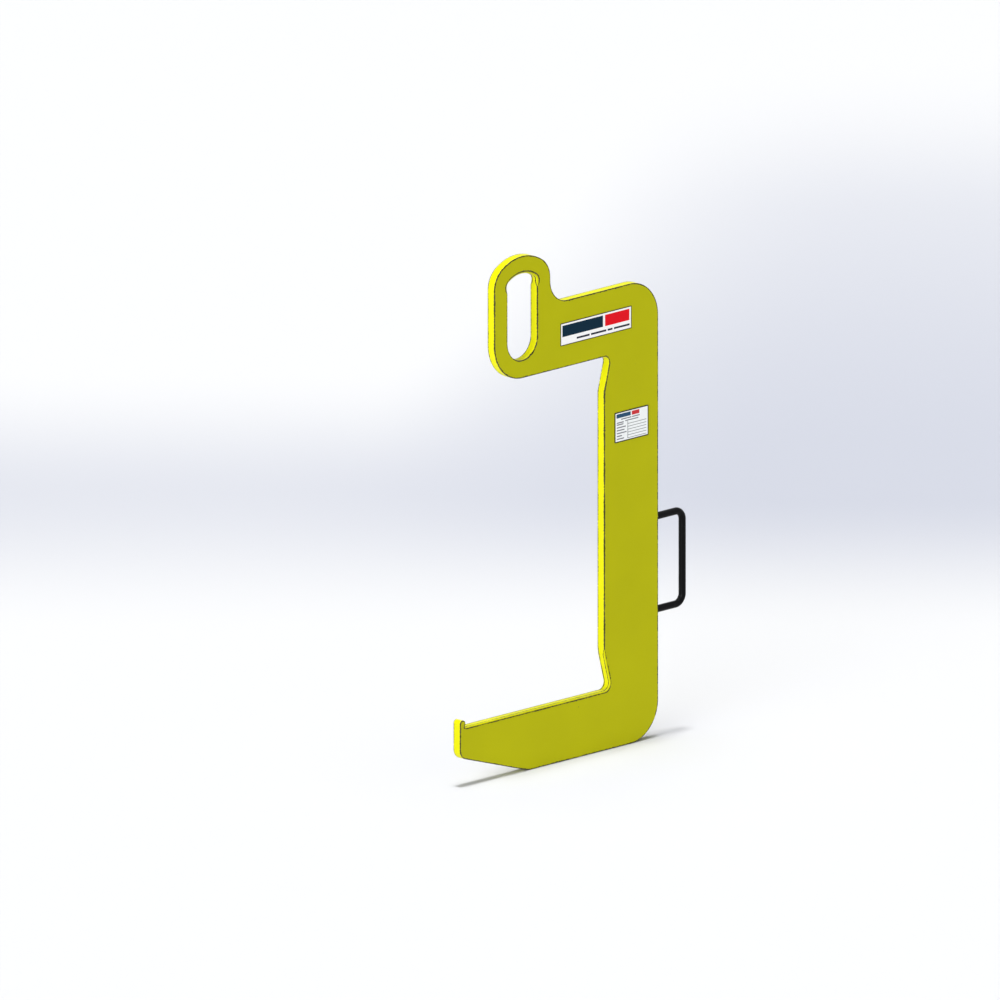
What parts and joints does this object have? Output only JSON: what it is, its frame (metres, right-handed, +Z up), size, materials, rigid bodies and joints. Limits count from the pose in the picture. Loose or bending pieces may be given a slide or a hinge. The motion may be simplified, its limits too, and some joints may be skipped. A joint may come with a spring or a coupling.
{
  "type": "coil hook",
  "caption": "C-shaped lifting hook cut from steel plate, with a suspension eye on the upper arm, a tapered prong for a coil's bore, and a hand hold on its back edge.",
  "frame": {"origin": "point on the plate's middle plane where the crane hook bears, at the top of the slot in the suspension eye", "axes": "+Z up, towards the crane; +X from the tip of the prong towards the spine and the hand hold; +Y through the plate, away from the front face that carries the labels"},
  "size_m": [0.6565, 0.0208, 1.0869],
  "materials": {
    "yellow_paint": "satin yellow paint on flame-cut steel plate",
    "black_bar": "semi-gloss black coating on round steel bar",
    "label_film": "white printed film, laminated, gloss",
    "rating_metal": "thin aluminium sheet, satin anodised and printed"
  },
  "bodies": {
    "root": {"hook_plate": "yellow_paint", "handle": "black_bar", "handle_weld_upper": "black_bar", "handle_weld_lower": "black_bar", "name_label": "label_film", "rating_plate": "rating_metal"}
  },
  "joints": []
}
